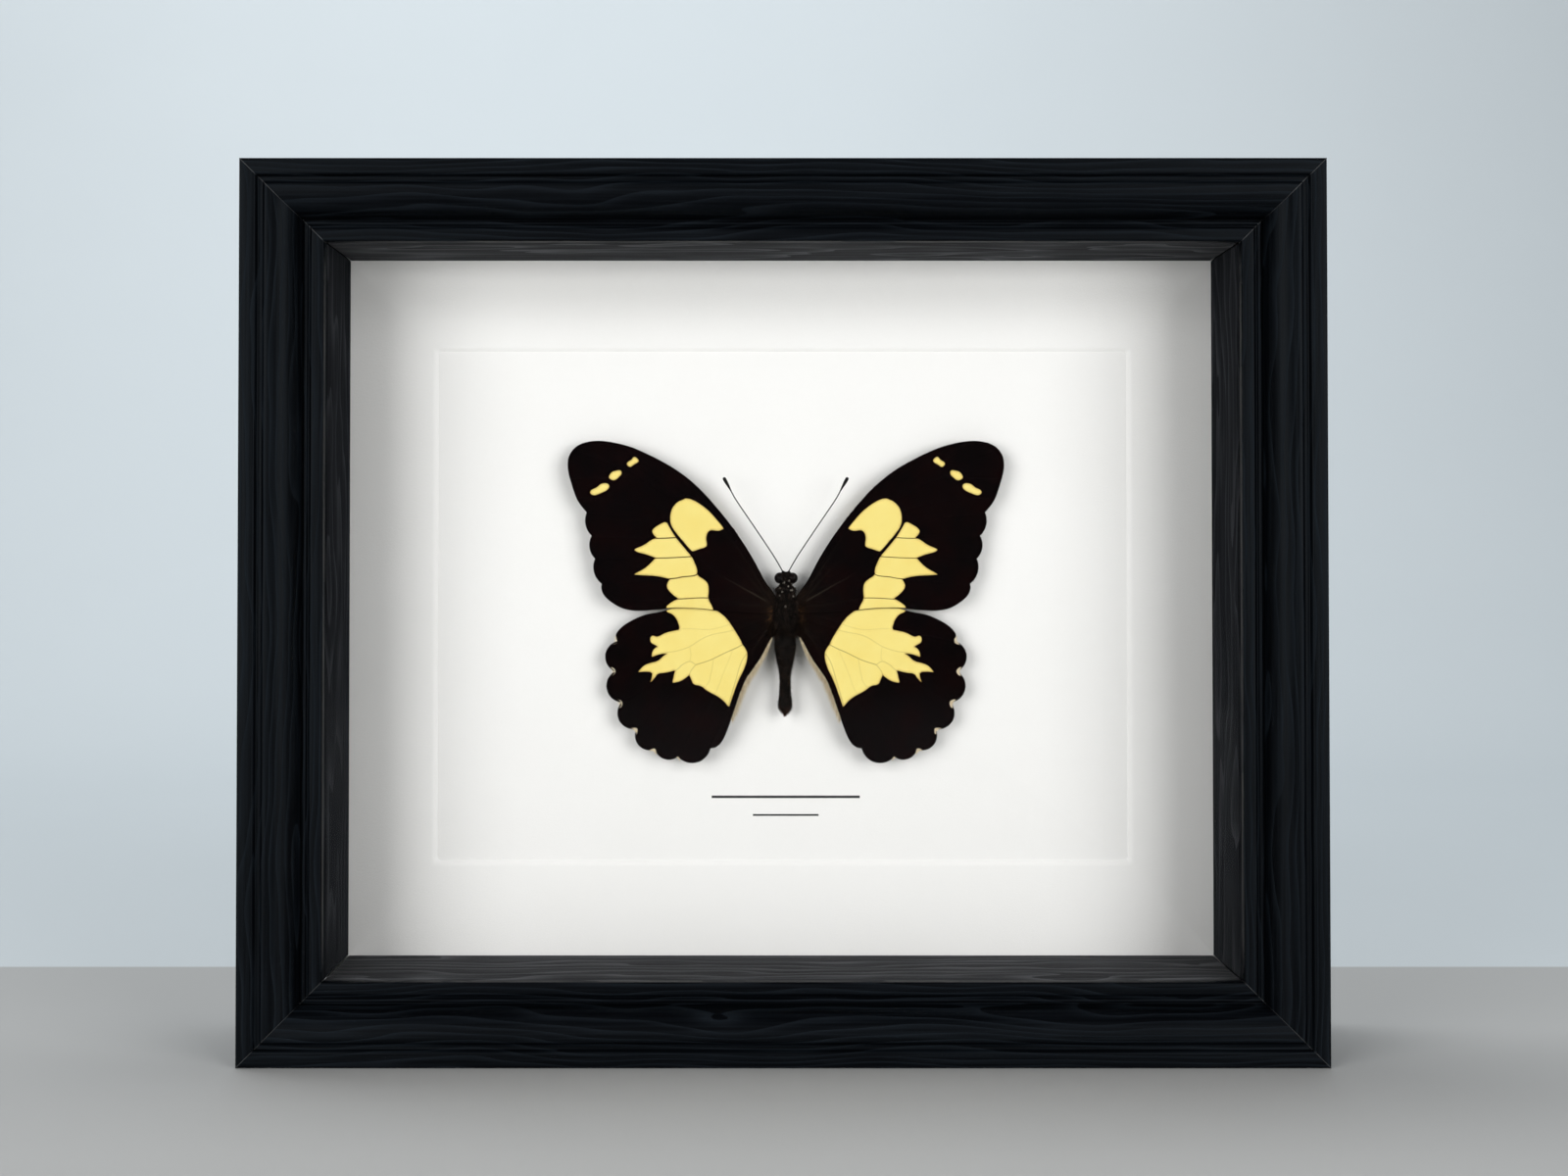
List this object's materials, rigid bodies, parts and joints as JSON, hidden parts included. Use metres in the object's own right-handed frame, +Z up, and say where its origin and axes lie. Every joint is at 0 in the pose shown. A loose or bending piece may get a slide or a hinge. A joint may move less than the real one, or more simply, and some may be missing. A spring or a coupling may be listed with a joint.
{
  "type": "framed butterfly specimen",
  "caption": "Spread butterfly with black and yellow wings on a white card with a pressed panel, behind glass in a deep black moulded wooden box frame.",
  "frame": {"origin": "middle of the frame's outline, at the level of the surface that its bottom rail stands on", "axes": "+Z up, +X to the viewer's right, the glass faces -Y"},
  "size_m": [0.24, 0.044, 0.2],
  "materials": {
    "frame_paint": "satin black paint over wood grain",
    "spacer_paint": "matt black stain",
    "glass": "clear float glass",
    "card": "white card with a fine tooth",
    "hardboard": "brown hardboard",
    "steel": "zinc plated",
    "wing_scales": "brown-black scales with butter-yellow patches",
    "body_hair": "dark brown hair",
    "antenna": "black horn",
    "glue": "clear glue"
  },
  "bodies": {
    "root": {"abdomen": "body_hair", "antenna_left": "antenna", "antenna_right": "antenna", "backing_board": "hardboard", "backing_tab_1": "steel", "backing_tab_2": "steel", "backing_tab_3": "steel", "backing_tab_4": "steel", "backing_tab_5": "steel", "backing_tab_6": "steel", "backing_tab_7": "steel", "backing_tab_8": "steel", "forewing_left": "wing_scales", "forewing_right": "wing_scales", "frame_rail_bottom": "frame_paint", "frame_rail_left": "frame_paint", "frame_rail_right": "frame_paint", "frame_rail_top": "frame_paint", "glass_pane": "glass", "glue_dab": "glue", "hanger_nail_left": "steel", "hanger_nail_right": "steel", "hanger_plate": "steel", "head": "body_hair", "hindwing_left": "wing_scales", "hindwing_right": "wing_scales", "mount_card": "card", "spacer_bottom": "spacer_paint", "spacer_left": "spacer_paint", "spacer_right": "spacer_paint", "spacer_top": "spacer_paint", "thorax": "body_hair"}
  },
  "joints": []
}
